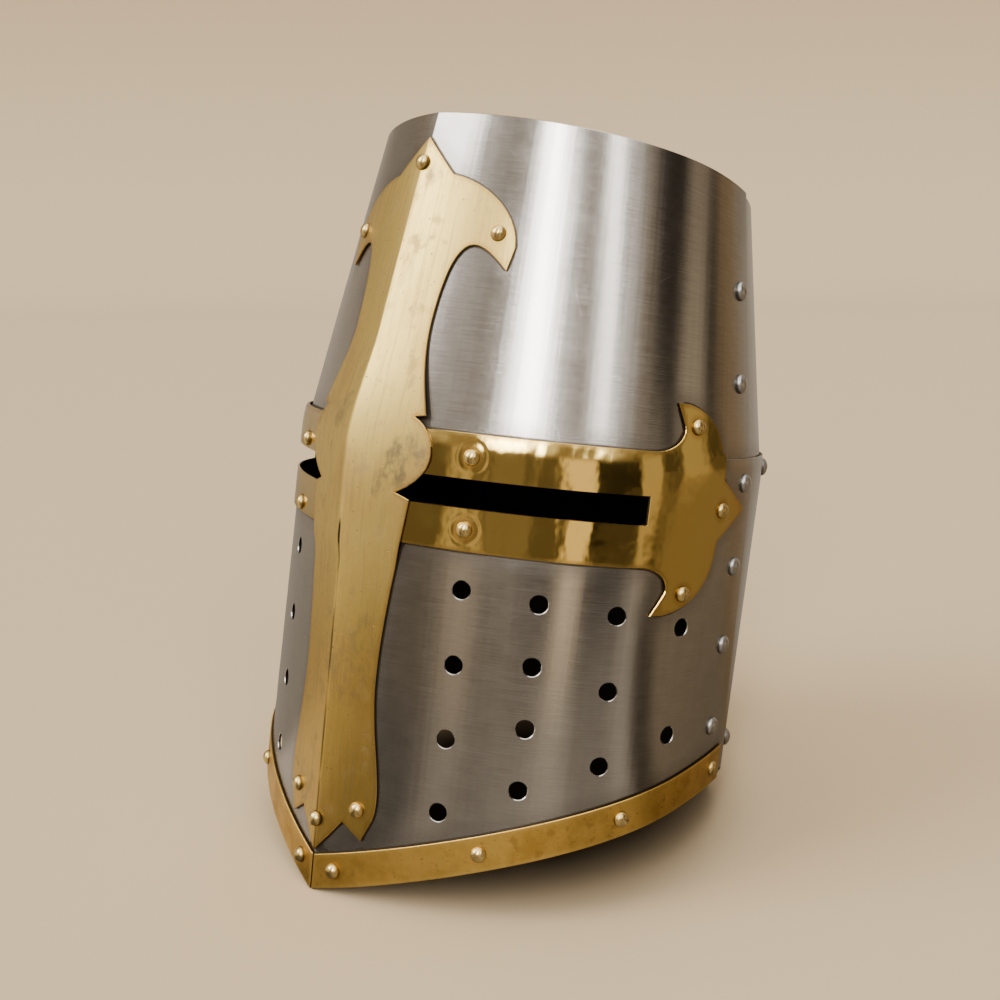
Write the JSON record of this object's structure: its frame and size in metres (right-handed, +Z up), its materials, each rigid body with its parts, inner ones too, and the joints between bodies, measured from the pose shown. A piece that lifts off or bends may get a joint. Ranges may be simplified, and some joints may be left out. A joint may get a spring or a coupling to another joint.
{
  "type": "great helm",
  "caption": "Flat-topped riveted steel great helm with a keeled front, brass cross with fleur ends, narrow sights, breathing holes and brass rim bands.",
  "frame": {"origin": "on the ground, under the middle of the whole helm's box", "axes": "+Z up as the helm stands by itself, leaning back; the face looks to -Y and the wearer's left is +X"},
  "size_m": [0.2258, 0.251, 0.3152],
  "materials": {
    "brushed_steel": "satin steel sheet, brushed up and down, with fine scratches",
    "satin_brass": "pale satin brass with smudges of tarnish",
    "polished_brass": "mirror polished sheet brass, slightly wavy from the hammer",
    "aged_brass": "golden brown, mottled with age",
    "brass_rivet": "polished dome",
    "steel_rivet": "polished dome"
  },
  "bodies": {
    "root": {"crown_plate": "brushed_steel", "brow_plate": "brushed_steel", "face_plate": "brushed_steel", "upper_back_plate": "brushed_steel", "lower_back_plate": "brushed_steel", "cross_upright": "satin_brass", "cross_arm_left": "polished_brass", "cross_arm_right": "polished_brass", "rim_band_left": "aged_brass", "rim_band_right": "aged_brass", "upright_rivet_tip": "brass_rivet", "upright_rivet_point": "brass_rivet", "upright_rivet_head_left": "brass_rivet", "upright_rivet_head_right": "brass_rivet", "upright_rivet_foot_left": "brass_rivet", "upright_rivet_foot_right": "brass_rivet", "arm_rivet_upper_left": "brass_rivet", "arm_rivet_upper_right": "brass_rivet", "arm_rivet_lower_left": "brass_rivet", "arm_rivet_lower_right": "brass_rivet", "fleur_rivet_upper_left": "brass_rivet", "fleur_rivet_upper_right": "brass_rivet", "fleur_rivet_point_left": "brass_rivet", "fleur_rivet_point_right": "brass_rivet", "fleur_rivet_lower_left": "brass_rivet", "fleur_rivet_lower_right": "brass_rivet", "band_rivet_1_left": "brass_rivet", "band_rivet_1_right": "brass_rivet", "band_rivet_2_left": "brass_rivet", "band_rivet_2_right": "brass_rivet", "band_rivet_3_left": "brass_rivet", "band_rivet_3_right": "brass_rivet", "band_rivet_4_left": "brass_rivet", "band_rivet_4_right": "brass_rivet", "side_rivet_upper_1_left": "steel_rivet", "side_rivet_upper_1_right": "steel_rivet", "side_rivet_upper_2_left": "steel_rivet", "side_rivet_upper_2_right": "steel_rivet", "side_rivet_lower_1_left": "steel_rivet", "side_rivet_lower_1_right": "steel_rivet", "side_rivet_lower_2_left": "steel_rivet", "side_rivet_lower_2_right": "steel_rivet", "side_rivet_lower_3_left": "steel_rivet", "side_rivet_lower_3_right": "steel_rivet", "side_rivet_lower_4_left": "steel_rivet", "side_rivet_lower_4_right": "steel_rivet", "back_rivet_middle": "steel_rivet", "back_rivet_1_left": "steel_rivet", "back_rivet_1_right": "steel_rivet", "back_rivet_2_left": "steel_rivet", "back_rivet_2_right": "steel_rivet", "nape_rivet_left": "steel_rivet", "nape_rivet_right": "steel_rivet"}
  },
  "joints": []
}
